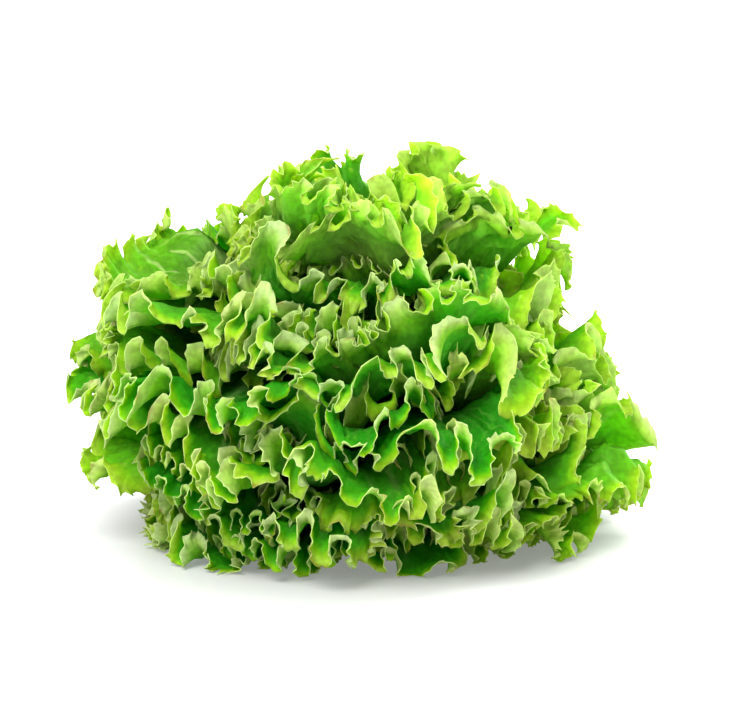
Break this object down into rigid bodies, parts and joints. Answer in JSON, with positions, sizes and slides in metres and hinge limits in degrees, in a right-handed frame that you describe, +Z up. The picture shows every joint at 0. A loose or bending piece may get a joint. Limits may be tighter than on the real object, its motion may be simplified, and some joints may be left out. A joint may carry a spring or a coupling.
{
  "type": "leaf lettuce",
  "caption": "Head of frilly green leaf lettuce standing on its cut stem, ruffled leaves spreading from a short core into a lopsided mound.",
  "frame": {"origin": "centre of the flat cut face under the stem, on the ground", "axes": "+Z up along the stem, +X to the side that spreads low, +Y to the back; -Y is the front"},
  "size_m": [0.2547, 0.2363, 0.1767],
  "materials": {
    "stem_flesh": "moist, slightly shiny flesh, oxidised brown-pink on the cut face",
    "heart_leaf_tissue": "thin, see-through, waxy yellow-green leaf",
    "middle_leaf_tissue": "thin, see-through, waxy green leaf with a pale rim",
    "outer_leaf_tissue": "thin, see-through, waxy deep green leaf with a pale rim"
  },
  "bodies": {
    "root": {"cut_stem": "stem_flesh", "heart_leaf_01": "heart_leaf_tissue", "heart_leaf_02": "heart_leaf_tissue", "heart_leaf_03": "heart_leaf_tissue", "heart_leaf_04": "heart_leaf_tissue", "heart_leaf_05": "heart_leaf_tissue", "heart_leaf_06": "heart_leaf_tissue", "heart_leaf_07": "heart_leaf_tissue", "heart_leaf_08": "heart_leaf_tissue", "middle_leaf_01": "middle_leaf_tissue", "middle_leaf_02": "middle_leaf_tissue", "middle_leaf_03": "middle_leaf_tissue", "middle_leaf_04": "middle_leaf_tissue", "middle_leaf_05": "middle_leaf_tissue", "middle_leaf_06": "middle_leaf_tissue", "middle_leaf_07": "middle_leaf_tissue", "middle_leaf_08": "middle_leaf_tissue", "middle_leaf_09": "middle_leaf_tissue", "middle_leaf_10": "middle_leaf_tissue", "middle_leaf_11": "middle_leaf_tissue", "middle_leaf_12": "middle_leaf_tissue", "middle_leaf_13": "middle_leaf_tissue", "middle_leaf_14": "middle_leaf_tissue", "middle_leaf_15": "middle_leaf_tissue", "middle_leaf_16": "middle_leaf_tissue", "middle_leaf_17": "middle_leaf_tissue", "middle_leaf_18": "middle_leaf_tissue", "middle_leaf_19": "middle_leaf_tissue", "middle_leaf_20": "middle_leaf_tissue", "outer_leaf_01": "outer_leaf_tissue", "outer_leaf_02": "outer_leaf_tissue", "outer_leaf_03": "outer_leaf_tissue", "outer_leaf_04": "outer_leaf_tissue", "outer_leaf_05": "outer_leaf_tissue", "outer_leaf_06": "outer_leaf_tissue", "outer_leaf_07": "outer_leaf_tissue", "outer_leaf_08": "outer_leaf_tissue", "outer_leaf_09": "outer_leaf_tissue", "outer_leaf_10": "outer_leaf_tissue", "outer_leaf_11": "outer_leaf_tissue", "outer_leaf_12": "outer_leaf_tissue", "outer_leaf_13": "outer_leaf_tissue", "outer_leaf_14": "outer_leaf_tissue", "outer_leaf_15": "outer_leaf_tissue", "outer_leaf_16": "outer_leaf_tissue", "outer_leaf_17": "outer_leaf_tissue", "outer_leaf_18": "outer_leaf_tissue", "outer_leaf_19": "outer_leaf_tissue", "outer_leaf_20": "outer_leaf_tissue", "outer_leaf_21": "outer_leaf_tissue", "outer_leaf_22": "outer_leaf_tissue", "outer_leaf_23": "outer_leaf_tissue", "outer_leaf_24": "outer_leaf_tissue", "outer_leaf_25": "outer_leaf_tissue", "outer_leaf_26": "outer_leaf_tissue", "outer_leaf_27": "outer_leaf_tissue", "outer_leaf_28": "outer_leaf_tissue", "outer_leaf_29": "outer_leaf_tissue", "outer_leaf_30": "outer_leaf_tissue"}
  },
  "joints": []
}
